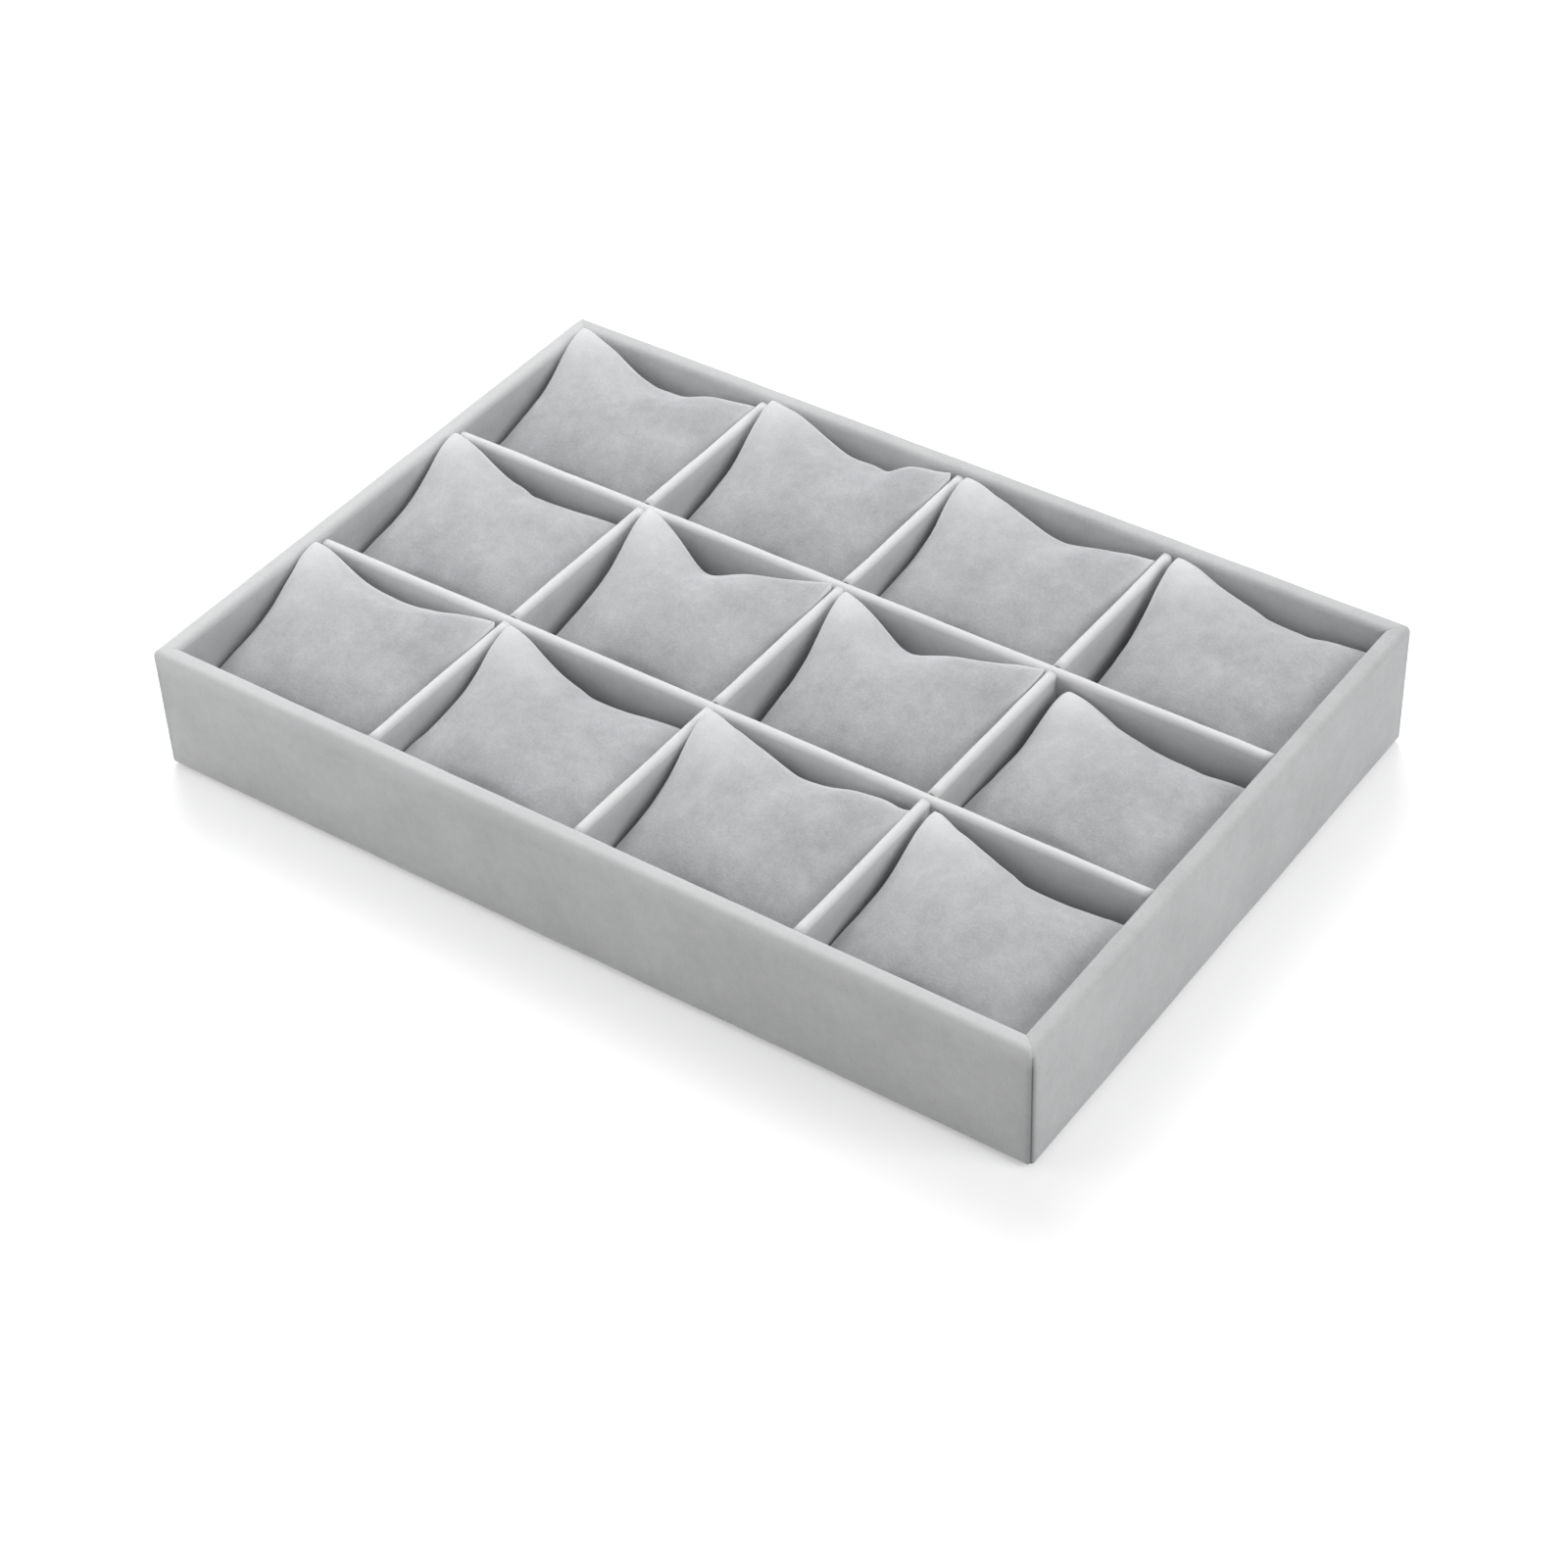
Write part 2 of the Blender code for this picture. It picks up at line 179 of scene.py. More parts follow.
creaseShade = {"colour": (0.16, 0.161, 0.165), "share": 0.9}
velvetLooks = {
    "wall": {
        "shadow": (0.450, 0.453, 0.458), "light": (0.542, 0.545, 0.550), "highlightColour": (0.70, 0.702, 0.708),
        "highlightShare": 0.78, "cloudScale": 48.0, "bump": 0.35, "sheen": 0.80,
    },
    "divider": {
        "shadow": (0.470, 0.473, 0.478), "light": (0.550, 0.553, 0.558), "highlightColour": (0.78, 0.782, 0.788),
        "highlightShare": 0.86, "cloudScale": 60.0, "bump": 0.32, "sheen": 0.80,
    },
    "floor": {
        "shadow": (0.440, 0.442, 0.448), "light": (0.520, 0.523, 0.530), "highlightColour": (0.6, 0.6, 0.6),
        "highlightShare": 0.0, "cloudScale": 60.0, "bump": 0.35, "sheen": 0.20,
    },
    "pillow": {
        "shadow": (0.385, 0.390, 0.403), "light": (0.530, 0.536, 0.550), "highlightColour": (0.92, 0.926, 0.936),
        "highlightShare": 0.98, "cloudScale": 75.0, "bump": 0.38, "sheen": 0.90,
    },
}
velvet = {name: makeVelvet(name + "Velvet", look) for name, look in velvetLooks.items()}


def makeCard(name, dark, light, grain, roughness):
    # Pressed card or lining paper: fine fibres over a soft cloud
    material, parts, links = newMaterial(name)
    shader = parts["Principled BSDF"]
    place = parts.new("ShaderNodeTexCoord")
    stretch = parts.new("ShaderNodeMapping")
    stretch.inputs["Scale"].default_value = (1.0, 0.35, 1.0)
    fibres = parts.new("ShaderNodeTexNoise")
    fibres.inputs["Scale"].default_value = grain
    fibres.inputs["Detail"].default_value = 5.0
    colour = mixColours(parts, links, dark, light, fibres.outputs["Fac"])
    bump = parts.new("ShaderNodeBump")
    bump.inputs["Strength"].default_value = 0.2
    bump.inputs["Distance"].default_value = 0.1 * mm
    links.new(place.outputs["Object"], stretch.inputs["Vector"])
    links.new(stretch.outputs["Vector"], fibres.inputs["Vector"])
    links.new(colour, shader.inputs["Base Color"])
    links.new(fibres.outputs["Fac"], bump.inputs["Height"])
    links.new(bump.outputs["Normal"], shader.inputs["Normal"])
    shader.inputs["Roughness"].default_value = roughness
    return material


greyboard = makeCard("greyboard", (0.33, 0.31, 0.285), (0.47, 0.45, 0.42), 1800.0, 0.92)
basePaper = makeCard("basePaper", (0.26, 0.26, 0.268), (0.36, 0.36, 0.368), 2600.0, 0.75)

for name, node in nodes.items():
    if name.endswith("_board") or "_core_" in name:
        node.data.materials[0] = greyboard
nodes["base_sheet"].data.materials[0] = basePaper
nodes["floor_lining"].data.materials[0] = velvet["floor"]
print("materials made")


# Making and placing pieces
def finishPiece(name, shape, material, slot, *replaced):
    bmesh.ops.recalc_face_normals(shape, faces=shape.faces)
    closed = not any(edge.is_boundary for edge in shape.edges)
    if closed and shape.calc_volume(signed=True) < 0:
        bmesh.ops.reverse_faces(shape, faces=shape.faces)
    mesh = bpy.data.meshes.new(name)
    shape.to_mesh(mesh)
    shape.free()
    mesh.shade_smooth()
    mesh.materials.append(material)
    piece = bpy.data.objects.new(name, mesh)
    scene.collection.objects.link(piece)
    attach(piece, "root")
    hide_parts(*replaced)
    return piece


def backWithSkin(piece, thickness):
    skin = piece.modifiers.new("Cloth thickness", "SOLIDIFY")
    skin.thickness = thickness
    skin.offset = -1.0


def arcPoints(centreY, centreZ, radius, start, end, steps):
    points = []
    for step in range(steps + 1):
        angle = math.radians(start + (end - start) * step / steps)
        points.append((centreY + radius * math.cos(angle), centreZ + radius * math.sin(angle)))
    return points


def splitLine(start, end, steps):
    # Points after start, up to and with end
    return [tuple(a + (b - a) * s / steps for a, b in zip(start, end)) for s in range(1, steps + 1)]


def drawStrip(section, steps):
    # Draw an open section in the YZ plane and extrude it one unit at a time along X
    shape = bmesh.new()
    verts = [shape.verts.new((0.0, y, z)) for y, z in section]
    edges = [shape.edges.new(pair) for pair in zip(verts, verts[1:])]
    for _ in range(steps):
        grown = bmesh.ops.extrude_edge_only(shape, edges=edges)["geom"]
        edges = [item for item in grown if isinstance(item, bmesh.types.BMEdge)]
        ends = [item for item in grown if isinstance(item, bmesh.types.BMVert)]
        edges = [e for e in edges if e.verts[0] in ends and e.verts[1] in ends]
        bmesh.ops.translate(shape, verts=ends, vec=(1.0, 0.0, 0.0))
    return shape


def ripple(point, size, amount, seed):
    # Soft unevenness of glued velvet: size is the length of a swell
    return amount * noise.noise(Vector(point) / size + Vector((seed * 7.3, seed * 3.1, seed * 5.7)))


def swellAt(point, look, seed, finerSeed):
    # A long swell of the glued velvet and a finer, shallower one over it
    swell = ripple(point, look["swellLength"], look["swell"], seed)
    return swell + ripple(point, look["swellLength"] / 4, look["swell"] / 3, finerSeed)


# Wall covers: velvet glued round each wall, rolled into a soft seam at each corner
coverLook = {
    "rimRadius": 2.6 * mm,
    "cornerRadius": 2.0 * mm,
    "hemWidth": 14.0 * mm,
    "hemFold": 1.6 * mm,
    "seamWidth": 1.6 * mm,
    "seamDepth": 0.6 * mm,
    "creaseShadeWidth": 1.0 * mm,
    "closedTop": 3.0 * mm,
    "swell": 0.16 * mm,
    "swellLength": 26.0 * mm,
    "spacing": 4.0 * mm,
    "highlightDepth": 3.6 * mm,
    "velvet": 0.7 * mm,
    "nearSeam": (0.0, 0.06, 0.16, 0.3, 0.5, 0.75, 1.1, 1.6, 2.3, 3.2),
    "nearSeamUnit": 0.9,
    "closedRelief": 0.93,
    "endFade": 12.0 * mm,
    "insideMargin": 0.1 * mm,
}


def coverSection(look):
    rim = look["rimRadius"]
    fold = look["hemFold"]
    rimZ = trayHeight - rim
    section = [(look["hemWidth"], hemBottom)]
    section += splitLine(section[-1], (fold, hemBottom), 3)
    section += arcPoints(fold, hemBottom + fold, fold, 270, 180, 4)[1:]
    section += splitLine(section[-1], (0.0, rimZ), 9)
    section += arcPoints(rim, rimZ, rim, 180, 90, 8)[1:]
    section += splitLine(section[-1], (wallThickness - rim, trayHeight), 2)
    section += arcPoints(wallThickness - rim, rimZ, rim, 90, 0, 8)[1:]
    section += splitLine(section[-1], (wallThickness, flapBottom), 7)
    return section


def inwardNormals(section):
    # Unit normals that point from the velvet's face to the board behind it
    normals = []
    for k in range(len(section)):
        before = section[max(0, k - 1)]
        after = section[min(len(section) - 1, k + 1)]
        dy, dz = after[0] - before[0], after[1] - before[1]
        size = math.hypot(dy, dz)
        normals.append((dz / size, -dy / size))
    return normals


def makeCover(name, length, turn, place, rimHighlight, look, seed):
    section = coverSection(look)
    normals = inwardNormals(section)
    # Stations crowd together near the seam and run evenly between
    nearSeam = [look["seamWidth"] * s / look["nearSeamUnit"] for s in look["nearSeam"]]
    middle = length / 2 - look["hemWidth"] - nearSeam[-1]
    count = round(2 * middle / look["spacing"])
    stations = [(-1, t) for t in nearSeam] + [(0, s / count * 2 - 1) for s in range(count + 1)]
    stations += [(1, t) for t in reversed(nearSeam)]
    shape = drawStrip(section, len(stations) - 1)
    paintedLightMask = shape.verts.layers.float.new("paintedHighlightAndShade")
    lookup = {(round(y, 7), round(z, 7)): k for k, (y, z) in enumerate(section)}
    radius = look["cornerRadius"]
    for vert in shape.verts:
        side, t = stations[round(vert.co.x)]
        depth, height = vert.co.y, vert.co.z
        k = lookup[(round(depth, 7), round(height, 7))]
        sink = 0.0
        belowTop = trayHeight - height
        closed = 1 - min(1.0, max(0.0, belowTop - look["closedTop"] / 3) / look["closedTop"])
        # Painted highlight on the rim, fading out below the top
        vert[paintedLightMask] = rimHighlight * (1 - min(1.0, belowTop / look["highlightDepth"]) ** 2)
        # Painted shade in the crease of each corner seam, weaker near the top
        if side:
            vert[paintedLightMask] -= (1 - closed) * (1 + vert[paintedLightMask]) * math.exp(-t / look["creaseShadeWidth"])
        if side and t < look["seamWidth"]:
            sink = look["seamDepth"] * (1 - math.sqrt(1 - (1 - t / look["seamWidth"]) ** 2))
            sink *= 1 - look["closedRelief"] * closed
        along = t * middle if side == 0 else side * (length / 2 - depth - t)
        edge = min(1.0, (length / 2 - abs(along)) / look["endFade"])
        swell = swellAt((along, depth, height), look, seed, seed + 5)
        if depth < wallThickness - look["insideMargin"]:
            sink += swell * max(0.0, edge)
        depth += normals[k][0] * sink
        height += normals[k][1] * sink
        if side and depth < radius:
            # Bend halfway round the tray's corner
            inner = radius - depth
            arcLength = math.pi / 4 * radius
            if t < arcLength:
                angle = math.pi / 4 * (1 - t / arcLength)
                along = side * (length / 2 - radius + inner * math.sin(angle))
                depth = radius - inner * math.cos(angle)
            else:
                along = side * (length / 2 - radius - (t - arcLength))
        vert.co = (along, depth, height)
    seat = Matrix.Translation(place) @ Matrix.Rotation(turn, 4, "Z")
    bmesh.ops.transform(shape, matrix=seat, verts=shape.verts)
    cover = finishPiece(name + "Velvet", shape, velvet["wall"], "wall_velvet", name + "_cover")
    backWithSkin(cover, look["velvet"])


# Name, length, turn and place of each wall, and how strong the painted highlight on its rim is
sides = (
    ("front", trayLength, 0.0, (0.0, trayLow.y, 0.0), 0.68),
    ("right", trayWidth, math.pi / 2, (trayHigh.x, 0.0, 0.0), 0.18),
    ("back", trayLength, math.pi, (0.0, trayHigh.y, 0.0), 0.40),
    ("left", trayWidth, -math.pi / 2, (trayLow.x, 0.0, 0.0), 0.74),
)
for seed, (name, length, turn, place, rimHighlight) in enumerate(sides):
    makeCover(name, length, turn, place, rimHighlight, coverLook, seed)
print("wall covers made")


# Divider sleeves: velvet folded over each divider, the long ones running through on top
sleeveLook = {
    "spacing": 3.5 * mm,
    "swell": 0.16 * mm,
    "swellLength": 18.0 * mm,
    "acrossScale": 3,
    "wander": 0.25 * mm,
    "wanderLength": 60.0 * mm,
    "velvet": 0.6 * mm,
    "highlightDepth": 2.6 * mm,
    "slotLap": 0.25 * mm,
    "endFade": 10.0 * mm,
}


def makeSleeve(name, look, seed):
    low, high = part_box(name)
    alongY = high.y - low.y > high.x - low.x
    half = (high.x - low.x if alongY else high.y - low.y) / 2
    start, end = (low.y, high.y) if alongY else (low.x, high.x)
    middle = (low.x + high.x) / 2 if alongY else (low.y + high.y) / 2
    lap = look["slotLap"]
    top = high.z
    lapZ = (low.z + top) / 2
    section = [(half, low.z)]
    section += splitLine(section[-1], (half, lapZ), 4)
    section += splitLine(section[-1], (half, top - half), 4)
    section += arcPoints(0.0, top - half, half, 0, 180, 14)[1:]
    section += splitLine(section[-1], (-half, lapZ), 4)
    section += splitLine(section[-1], (-half, low.z), 4)
    crossing = []
    for other in nodes:
        if "_sleeve_" in other and other.split("_")[0] != name.split("_")[0]:
            a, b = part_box(other)
            line = (a.y + b.y) / 2 if alongY else (a.x + b.x) / 2
            crossing += [line - half + lap, line + half - lap]
    marks = [start] + sorted(crossing) + [end]
    stations = [start]
    for a, b in zip(marks, marks[1:]):
        steps = max(1, round((b - a) / look["spacing"]))
        stations += [a + (b - a) * s / steps for s in range(1, steps + 1)]
    shape = drawStrip(section, len(stations) - 1)
    paintedLightMask = shape.verts.layers.float.new("paintedHighlightAndShade")
    slots = list(zip(sorted(crossing)[::2], sorted(crossing)[1::2]))
    cut = []
    for face in shape.faces:
        centre = face.calc_center_median()
        place = (stations[int(centre.x)] + stations[int(centre.x) + 1]) / 2
        inSlot = any(a < place < b for a, b in slots)
        if inSlot and (centre.z > lapZ) == alongY:
            cut.append(face)
    bmesh.ops.delete(shape, geom=cut, context="FACES")
    for vert in shape.verts:
        along = stations[round(vert.co.x)]
        across, height = vert.co.y, vert.co.z
        fade = min(1.0, min(along - start, end - along) / look["endFade"])
        for line in slots:
            fade = min(fade, max(0.0, abs(along - sum(line) / 2) - half) / look["endFade"])
        lift = max(0.0, (height - low.z) / (top - low.z))
        # Painted highlight on the divider's top, fading down its sides
        vert[paintedLightMask] = 1 - min(1.0, (top - height) / look["highlightDepth"]) ** 2
        swell = swellAt((along, across * look["acrossScale"], height), look, seed, seed + 9)
        outward = across / half
        wander = ripple((along, 0, 0), look["wanderLength"], look["wander"], seed + 3)
        across += (swell * outward + wander * lift) * fade
        if height > top - half:
            height += swell * fade
        vert.co = (middle - across, along, height) if alongY else (along, middle + across, height)
    pieceName = name.replace("_sleeve_", "Sleeve") + "Velvet"
    sleeve = finishPiece(pieceName, shape, velvet["divider"], "divider_velvet", name)
    backWithSkin(sleeve, look["velvet"])


for seed, name in enumerate(sorted(n for n in nodes if "_sleeve_" in n)):
    makeSleeve(name, sleeveLook, seed + 10)
print("divider sleeves made")


# Pillows: two velvet sheets sewn together and stuffed, each lying a little differently
pillowLook = {
    "cells": 38,
    "halfLength": 39.3 * mm,
    "halfDepth": 34.2 * mm,
    "tilt": 9.0,
    "centreHeight": 34.8 * mm,
    "crown": 12.5 * mm,
    "topFullness": 0.52,
    "belly": 27.5 * mm,
    "bellyFullness": 0.44,
    "sidePinch": 1.7 * mm,
    "frontPinch": 4.5 * mm,
    "backPinch": 3.6 * mm,
    "edgeCurve": 1.9,
    "earLift": 5.2 * mm,
    "earCurve": 1.0,
    "earRounding": 0.02,
    "leftBlunting": 0.065,
    "rightBlunting": 0.02,
    "bluntness": 7,
    "leftPuff": 5.0 * mm,
    "rightPuff": 1.6 * mm,
    "puffWidth": 22.0 * mm,
    "puffCurve": 3.0,
    "rightReach": 42.0 * mm,
    "reachCurve": 3,
    "lumps": 0.30 * mm,
    "lumpLength": 12.0 * mm,
    "seamWave": 0.5 * mm,
    "waveLength": 7.0 * mm,
    "waveEdge": 6,
    # seamWidth here is the width of the painted highlight along the sewn edge
    "seamWidth": 1.6 * mm,
    "seamLip": 0.35 * mm,
    "earHighlight": 0.62,
    "earHighlightWidth": 21.0 * mm,
    "earHighlightFade": 1.5,
    "sewnWithin": 0.01 * mm,
    "wallGap": 0.25 * mm,
    "softLimit": 1.2 * mm,
    "fill": 0.75,
}
stuffing = {
    "frames": 20,
    "quality": 5,
    "mass": 0.1,
    "stretch": 12.0,
    "shear": 6.0,
    "bending": 0.3,
    "pressure": 2.0,
    "slack": 0.01,
    "holdAbove": 0.71,
    "mostMove": 1.2 * mm,
}

# Millimetres and degrees: how each pillow's ears, pinch, tilt, place and turn differ from the rest,
# and its puckers, each with a place and a width along the back edge and a depth
pillowTraits = {
    "pillow_front_1": {
        "leftEar": 0.0, "rightEar": 0.3, "backPinch": -0.8, "tilt": 3.4, "shift": (-1.3, -0.1),
        "turn": 0.1,
        "puckers": ((-0.10, 0.28, -1.4),),
    },
    "pillow_front_2": {
        "leftEar": 4.6, "rightEar": -5.6, "backPinch": -0.1, "tilt": -6.1, "shift": (-1.1, -0.8),
        "turn": -1.1,
    },
    "pillow_front_3": {
        "leftEar": 0.4, "rightEar": -4.2, "backPinch": -0.4, "tilt": 3.2, "shift": (-1.3, 0.0),
        "turn": 0.6,
        "puckers": ((-0.72, 0.10, 0.9), (-0.32, 0.20, -2.0), (0.55, 0.20, -1.5), (0.88, 0.07, 1.4)),
    },
    "pillow_front_4": {
        "leftEar": -0.6, "rightEar": -9.2, "backPinch": 1.5, "tilt": -1.5, "shift": (-0.6, -1.1),
        "turn": -2.1,
        "puckers": ((-0.68, 0.10, 0.8), (-0.30, 0.30, -1.8)),
    },
    "pillow_middle_1": {
        "leftEar": 2.9, "rightEar": -9.1, "backPinch": -0.1, "tilt": -0.9, "shift": (-0.4, 0.3),
        "turn": 0.7,
    },
    "pillow_middle_2": {
        "leftEar": 2.1, "rightEar": 2.3, "backPinch": 2.4, "tilt": 0.4, "shift": (0.8, 1.5),
        "turn": 0.7,
        "puckers": ((-0.20, 0.26, 5.6), (0.26, 0.28, -1.6)),
    },
    "pillow_middle_3": {
        "leftEar": -1.4, "rightEar": -0.8, "backPinch": 2.6, "tilt": 4.7, "shift": (0.8, 1.6),
        "turn": 1.8,
        "puckers": ((-0.20, 0.24, 4.2), (0.30, 0.28, -1.2)),
    },
    "pillow_middle_4": {
        "leftEar": -5.0, "rightEar": -9.6, "backPinch": 1.5, "tilt": -2.8, "shift": (0.0, 0.3),
        "turn": -3.5,
        "puckers": ((-0.30, 0.30, -0.8), (0.50, 0.09, 0.7)),
    },
    "pillow_back_1": {
        "leftEar": 2.0, "rightEar": -2.4, "backPinch": 1.0, "tilt": 3.0, "shift": (-1.2, 1.0),
        "puckers": ((-0.45, 0.26, -2.2), (0.32, 0.12, 0.9), (0.58, 0.14, -1.0)),
    },
    "pillow_back_2": {
        "leftEar": 0.6, "rightEar": 0.6, "backPinch": 0.6, "tilt": 3.0, "shift": (0.2, 0.8),
        "puckers": ((-0.36, 0.40, -4.2), (0.42, 0.09, 2.4), (0.66, 0.14, -1.4)),
    },
    "pillow_back_3": {
        "leftEar": 1.5, "rightEar": -0.7, "backPinch": -0.9, "tilt": 0.8, "shift": (-1.0, -0.5),
        "turn": -1.4,
        "puckers": ((-0.62, 0.09, 0.8), (-0.30, 0.28, -2.4), (0.20, 0.10, 0.6)),
    },
    "pillow_back_4": {
        "leftEar": 0.7, "rightEar": -8.5, "tilt": 1.3, "shift": (1.3, 0.3), "turn": 0.9,
        "puckers": ((-0.25, 0.28, -1.2), (0.42, 0.10, 0.8)),
    },
}


def pillowPoint(u, v, crown, look, traits, reach=0.0):
    towardBack = max(0.0, v)
    backPinch = look["backPinch"] + traits.get("backPinch", 0.0) * mm
    pinch = look["frontPinch"] + (backPinch - look["frontPinch"]) * towardBack
    blunt = 1 - look["leftBlunting" if u < 0 else "rightBlunting"] * abs(u * v) ** look["bluntness"]
    across = u * (look["halfLength"] - look["sidePinch"] * (1 - v * v)) * blunt
    across += reach * max(0.0, u) ** look["reachCurve"]
    deep = v * (look["halfDepth"] - pinch * (1 - abs(u) ** look["edgeCurve"])) * blunt
    fullness = look["topFullness"] if crown > 0 else look["bellyFullness"]
    rise = crown * max(0.0, (1 - u * u) * (1 - v * v)) ** fullness
    tilt = math.radians(look["tilt"] + traits.get("tilt", 0.0))
    y = deep * math.cos(tilt) - rise * math.sin(tilt)
    z = look["centreHeight"] + deep * math.sin(tilt) + rise * math.cos(tilt)
    ear = look["earLift"] + traits.get("leftEar" if u < 0 else "rightEar", 0.0) * mm
    z += ear * (u * u + look["earRounding"]) ** (look["earCurve"] / 2) * ((1 + v) / 2) ** 2
    toEar = math.hypot((1 - abs(u)) * look["halfLength"], (1 - v) * look["halfDepth"])
    puff = look["leftPuff" if u < 0 else "rightPuff"]
    z += puff * math.exp(-(toEar / look["puffWidth"]) ** look["puffCurve"])
    for spot, width, depth in traits.get("puckers", ()):
        z -= depth * mm * math.exp(-((u - spot) / width) ** 2) * towardBack ** 2
    point = Matrix.Rotation(math.radians(traits.get("turn", 0.0)), 3, "Z") @ Vector((across, y, z))
    shift = traits.get("shift", (0.0, 0.0))
    return point + Vector((shift[0], shift[1], 0.0)) * mm


def cellCentre(name):
    # A compartment's middle, from the row and column in the pillow's name
    row = ("front", "middle", "back").index(name.split("_")[1])
    column = int(name.split("_")[2])
    long1, long2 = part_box("long_sleeve_1"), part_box("long_sleeve_2")
    short1, short2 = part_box("short_sleeve_1"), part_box("short_sleeve_2")
    columnStep = short2[0].x - short1[0].x
    rowStep = long2[0].y - long1[0].y
    return Vector(((column - 2.5) * columnStep, (row - 1) * rowStep, 0.0))


def makePillow(name, look, traits, seed):
    centre = cellCentre(name)
    shape = bmesh.new()
    paintedLightMask = shape.verts.layers.float.new("paintedHighlightAndShade")
    reach = max(0.0, look["rightReach"] - pillowPoint(1.0, 1.0, 0.0, look, traits).x)
    cells = look["cells"]
    for crown in (look["crown"], -look["belly"]):
        grid = bmesh.ops.create_grid(shape, x_segments=cells, y_segments=cells, size=1.0)
        for vert in grid["verts"]:
            u = math.sin(math.pi / 2 * vert.co.x)
            v = math.sin(math.pi / 2 * vert.co.y)
            toSeam = min((1 - abs(u)) * look["halfLength"], (1 - abs(v)) * look["halfDepth"])
            parted = 1 - math.exp(-(toSeam / look["seamLip"]) ** 2)
            place = pillowPoint(u, v, crown * parted, look, traits, reach) + centre
            lump = ripple(place, look["lumpLength"], look["lumps"], seed)
            place.z += lump * (1 - u * u) * (1 - v * v)
            wave = ripple(place, look["waveLength"], look["seamWave"], seed + 40)
            place.z += wave * max(u * u, v * v) ** look["waveEdge"]
            place.z = max(place.z, floorTop + look["wallGap"])
            # Painted highlight along the sewn edge and over the back-left ear tip
            toEar = math.hypot((1 + u) * look["halfLength"], (1 - v) * look["halfDepth"])
            earHighlightShare = 0.0
            if crown > 0:
                earHighlightShare = look["earHighlight"] * math.exp(-(toEar / look["earHighlightWidth"]) ** look["earHighlightFade"])
            vert[paintedLightMask] = max(math.exp(-toSeam / look["seamWidth"]), earHighlightShare)
            vert.co = place
    rims = [vert for vert in shape.verts if vert.is_boundary]
    bmesh.ops.remove_doubles(shape, verts=rims, dist=look["sewnWithin"])
    _, row, column = name.split("_")
    pillow = finishPiece("pillow" + row.title() + column, shape, velvet["pillow"], "pillow_velvet", name)
    return pillow, centre


def addStuffing(pillow, look):
    # The sewn edge holds still while the two sheets fill out between it
    hold = pillow.vertex_groups.new(name="hold")
    paintedLightMask = pillow.data.attributes["paintedHighlightAndShade"].data
    for vert in pillow.data.vertices:
        held = paintedLightMask[vert.index].value > look["holdAbove"]
        hold.add([vert.index], 1.0 if held else 0.0, "REPLACE")
    cloth = pillow.modifiers.new("Stuffing", "CLOTH")
    settings = cloth.settings
    settings.quality = look["quality"]
    settings.mass = look["mass"]
    settings.tension_stiffness = look["stretch"]
    settings.compression_stiffness = look["stretch"]
    settings.shear_stiffness = look["shear"]
    settings.bending_stiffness = look["bending"]
    settings.use_pressure = True
    settings.uniform_pressure_force = look["pressure"]
    settings.shrink_min = -look["slack"]
    settings.vertex_group_mass = "hold"
    settings.effector_weights.gravity = 0.0
    cloth.collision_settings.use_collision = False
    cloth.point_cache.frame_start = 1
    cloth.point_cache.frame_end = look["frames"]


def settleStuffing(pillow, mostMove):
    # Take on the stuffed shape, no further than mostMove from the sewn one
    stuffed = pillow.evaluated_get(bpy.context.evaluated_depsgraph_get())
    places = [vert.co.copy() for vert in stuffed.data.vertices]
    pillow.modifiers.clear()
    pillow.vertex_groups.clear()
    for vert, place in zip(pillow.data.vertices, places):
        move = place - vert.co
        if move.length > 0:
            move *= mostMove * math.tanh(move.length / mostMove) / move.length
        vert.co += move


def ease(value, limit, soft):
    # Keep a value inside its limit, bending softly over the last stretch
    over = abs(value) - (limit - soft)
    if over <= 0:
        return value
    return math.copysign(limit - soft + soft * math.tanh(over / soft), value)


pillows = [
    makePillow(name, pillowLook, pillowTraits[name], seed)
    for seed, name in enumerate(sorted(pillowTraits))
]
print("pillows sewn")

for pillow, _ in pillows:
    addStuffing(pillow, stuffing)
scene.frame_start = 1
scene.frame_end = stuffing["frames"]
for step in range(1, stuffing["frames"] + 1):
    scene.frame_set(step)
for pillow, _ in pillows:
    settleStuffing(pillow, stuffing["mostMove"])
scene.frame_set(1)
print("pillows stuffed")

# The room that a pillow has on each side of its middle
halfCell = (
    (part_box("short_sleeve_2")[0].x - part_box("short_sleeve_1")[1].x) / 2 - pillowLook["wallGap"],
    (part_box("long_sleeve_2")[0].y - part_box("long_sleeve_1")[1].y) / 2 - pillowLook["wallGap"],
)
for pillow, centre in pillows:
    for vert in pillow.data.vertices:
        place = vert.co - centre
        place.x = ease(place.x, halfCell[0], pillowLook["softLimit"])
        place.y = ease(place.y, halfCell[1], pillowLook["softLimit"])
        place.z = max(place.z, floorTop + pillowLook["wallGap"])
        vert.co = place + centre
    smooth = pillow.modifiers.new("Soft surface", "SUBSURF")
    smooth.levels = 1
    smooth.render_levels = 1
print("pillows finished")


# Floor, light and camera
studio = {
    "floorHalf": 6.0,
    "floorDrop": 0.3 * mm,
    "floorColour": (0.93, 0.93, 0.93),
    "floorLift": 0.265,
    "whiteFrom": 0.5,
    "whiteBy": 1.3,
    "worldLight": 0.40,
    "keyPower": 23.0,
    "keyPlace": (-0.75, 0.95, 1.35),
    "keySize": 1.2,
    "fillPower": 33.0,
    "fillPlace": (2.4, 0.2, 1.8),
    "fillSize": 1.6,
    "frontPower": 1.4,
    "frontPlace": (-0.55, -0.52, 0.32),
    "frontSize": 0.5,
}


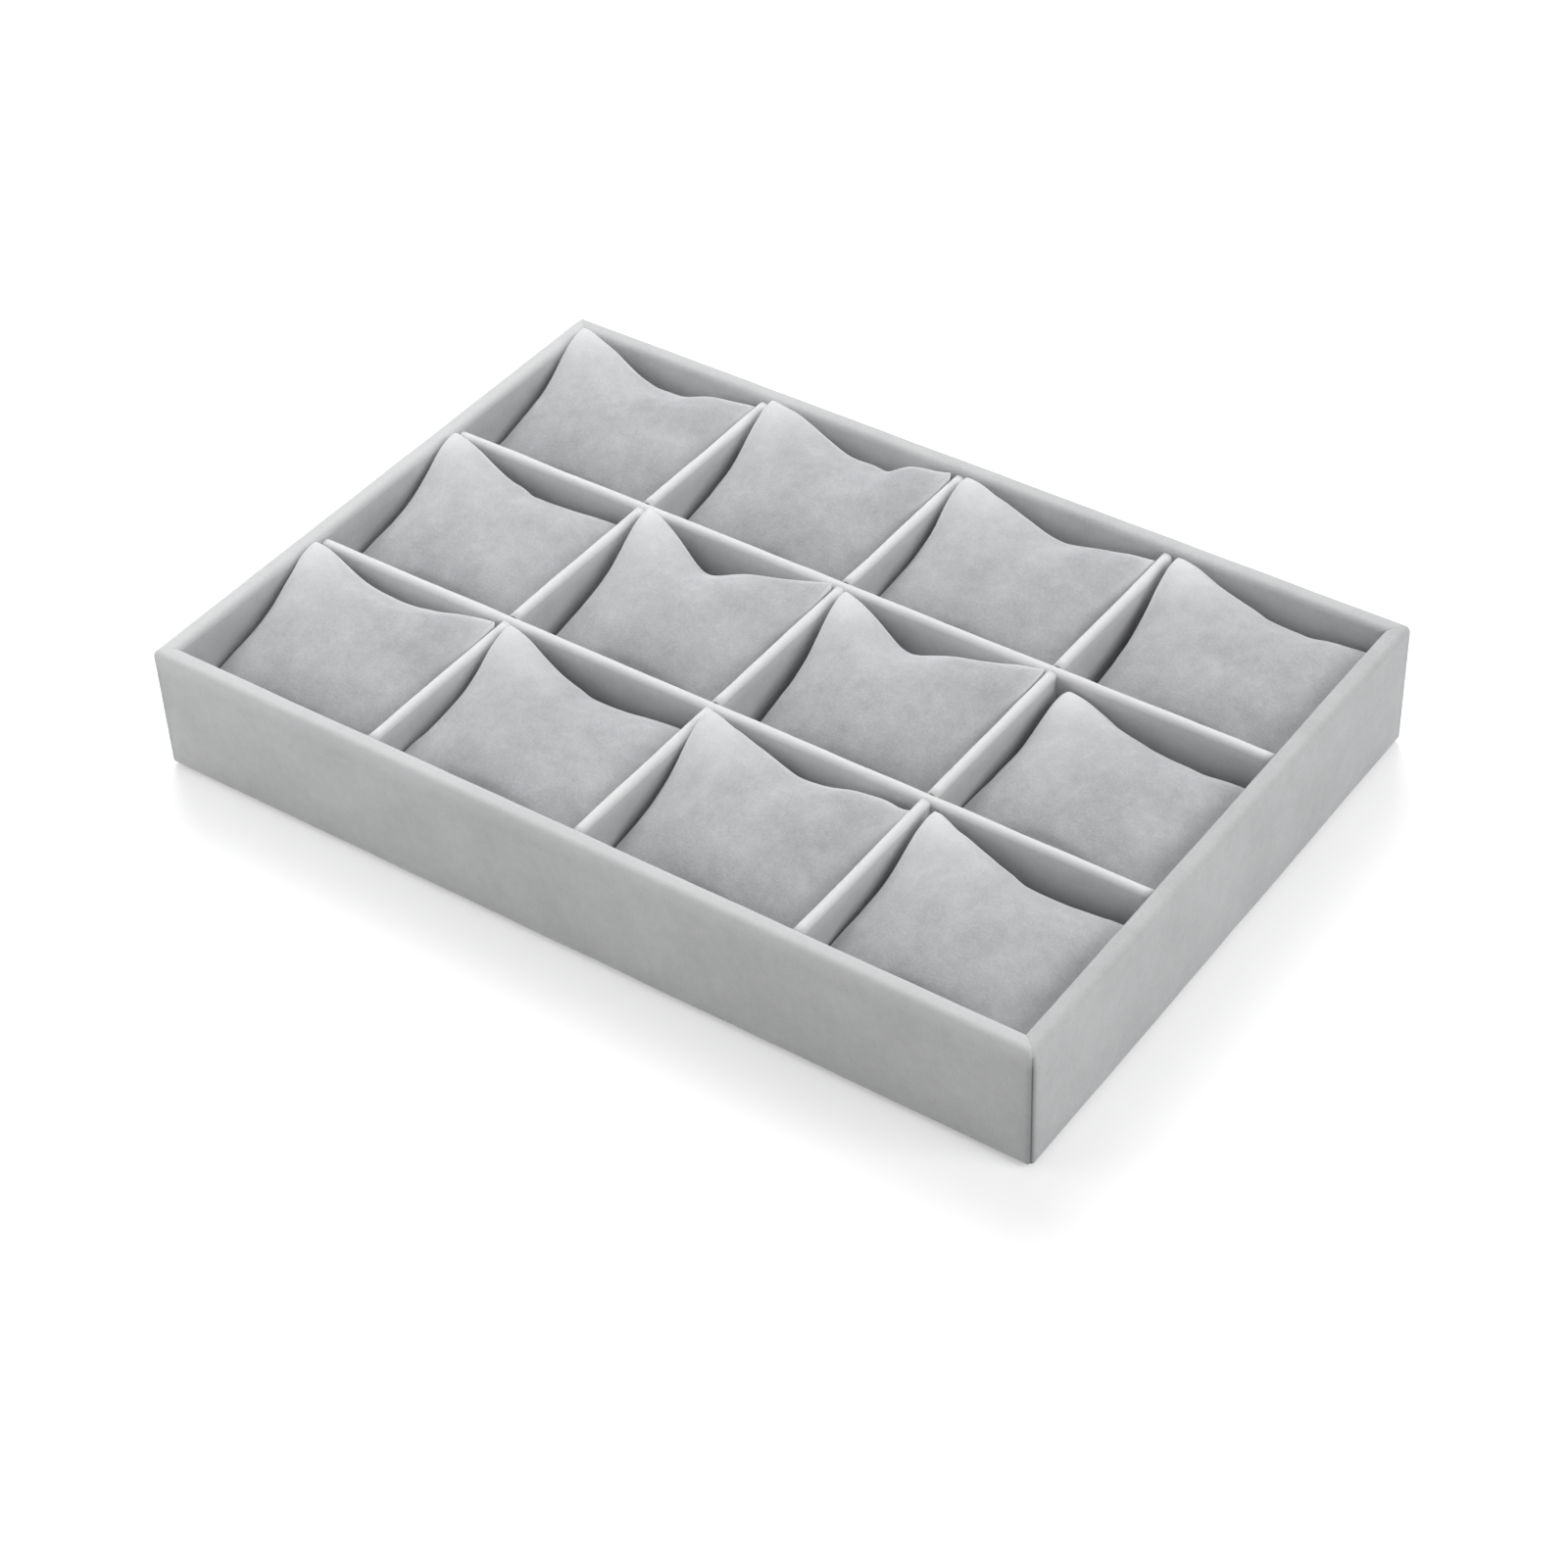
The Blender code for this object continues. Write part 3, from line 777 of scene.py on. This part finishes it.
def makeFloor(look):
    shape = bmesh.new()
    bmesh.ops.create_grid(shape, x_segments=1, y_segments=1, size=look["floorHalf"])
    mesh = bpy.data.meshes.new("floor")
    shape.to_mesh(mesh)
    shape.free()
    floor = bpy.data.objects.new("floor", mesh)
    floor.location.z = -look["floorDrop"]
    scene.collection.objects.link(floor)
    material, parts, links = newMaterial("paleFloor")
    shader = parts["Principled BSDF"]
    shader.inputs["Base Color"].default_value = (*look["floorColour"], 1.0)
    shader.inputs["Roughness"].default_value = 0.9
    shader.inputs["Specular IOR Level"].default_value = 0.0
    shader.inputs["Emission Color"].default_value = (1.0, 1.0, 1.0, 1.0)
    # The camera sees the floor fade to white with distance
    spot = parts.new("ShaderNodeTexCoord")
    distance = parts.new("ShaderNodeVectorMath")
    distance.operation = "LENGTH"
    links.new(spot.outputs["Object"], distance.inputs[0])
    whiter = parts.new("ShaderNodeMapRange")
    whiter.interpolation_type = "SMOOTHSTEP"
    whiter.inputs["From Min"].default_value = look["whiteFrom"]
    whiter.inputs["From Max"].default_value = look["whiteBy"]
    whiter.inputs["To Min"].default_value = look["floorLift"]
    whiter.inputs["To Max"].default_value = 1.0
    links.new(distance.outputs["Value"], whiter.inputs["Value"])
    path = parts.new("ShaderNodeLightPath")
    lift = parts.new("ShaderNodeMath")
    lift.operation = "MULTIPLY"
    links.new(whiter.outputs["Result"], lift.inputs[1])
    links.new(path.outputs["Is Camera Ray"], lift.inputs[0])
    links.new(lift.outputs["Value"], shader.inputs["Emission Strength"])
    mesh.materials.append(material)


def makeWorld(look):
    world = bpy.data.worlds.new("studio")
    world.use_nodes = True
    scene.world = world
    parts, links = world.node_tree.nodes, world.node_tree.links
    background = parts["Background"]
    background.inputs["Color"].default_value = (1.0, 1.0, 1.0, 1.0)
    path = parts.new("ShaderNodeLightPath")
    strength = parts.new("ShaderNodeMix")
    strength.data_type = "FLOAT"
    strength.inputs["A"].default_value = look["worldLight"]
    strength.inputs["B"].default_value = 1.0
    links.new(path.outputs["Is Camera Ray"], strength.inputs["Factor"])
    links.new(strength.outputs["Result"], background.inputs["Strength"])


def addLamp(name, place, size, power, aim=(0.0, 0.0, 0.02)):
    lamp = bpy.data.lights.new(name, "AREA")
    lamp.size = size
    lamp.energy = power
    holder = bpy.data.objects.new(name, lamp)
    holder.location = place
    holder.rotation_euler = (Vector(aim) - Vector(place)).to_track_quat("-Z", "Y").to_euler()
    scene.collection.objects.link(holder)


def addCamera(look):
    azimuth, elevation = math.radians(look["azimuth"]), math.radians(look["elevation"])
    flat = math.cos(elevation)
    back = Vector((math.sin(azimuth) * flat, -math.cos(azimuth) * flat, math.sin(elevation)))
    right = Vector((math.cos(azimuth), math.sin(azimuth), 0.0))
    up = back.cross(right)
    roll = math.radians(look["roll"])
    rolledRight = math.cos(roll) * right + math.sin(roll) * up
    rolledUp = math.cos(roll) * up - math.sin(roll) * right
    camera = bpy.data.cameras.new("camera")
    camera.lens = look["lens"]
    camera.sensor_width = 36.0
    camera.clip_end = 20.0
    holder = bpy.data.objects.new("camera", camera)
    turn = Matrix((rolledRight, rolledUp, back)).transposed().to_4x4()
    holder.matrix_world = Matrix.Translation(Vector(look["aim"]) + back * look["distance"]) @ turn
    scene.collection.objects.link(holder)
    scene.camera = holder


cameraLook = {
    "azimuth": 36.46,
    "elevation": 41.0,
    "distance": 1.212,
    "lens": 81.5,
    "roll": -2.46,
    "aim": (0.010, -0.014, 0.0),
}
makeFloor(studio)
makeWorld(studio)
for lamp in ("key", "fill", "front"):
    addLamp(lamp + "Lamp", studio[lamp + "Place"], studio[lamp + "Size"], studio[lamp + "Power"])
addCamera(cameraLook)
scene.view_settings.view_transform = "Standard"
print("studio set")
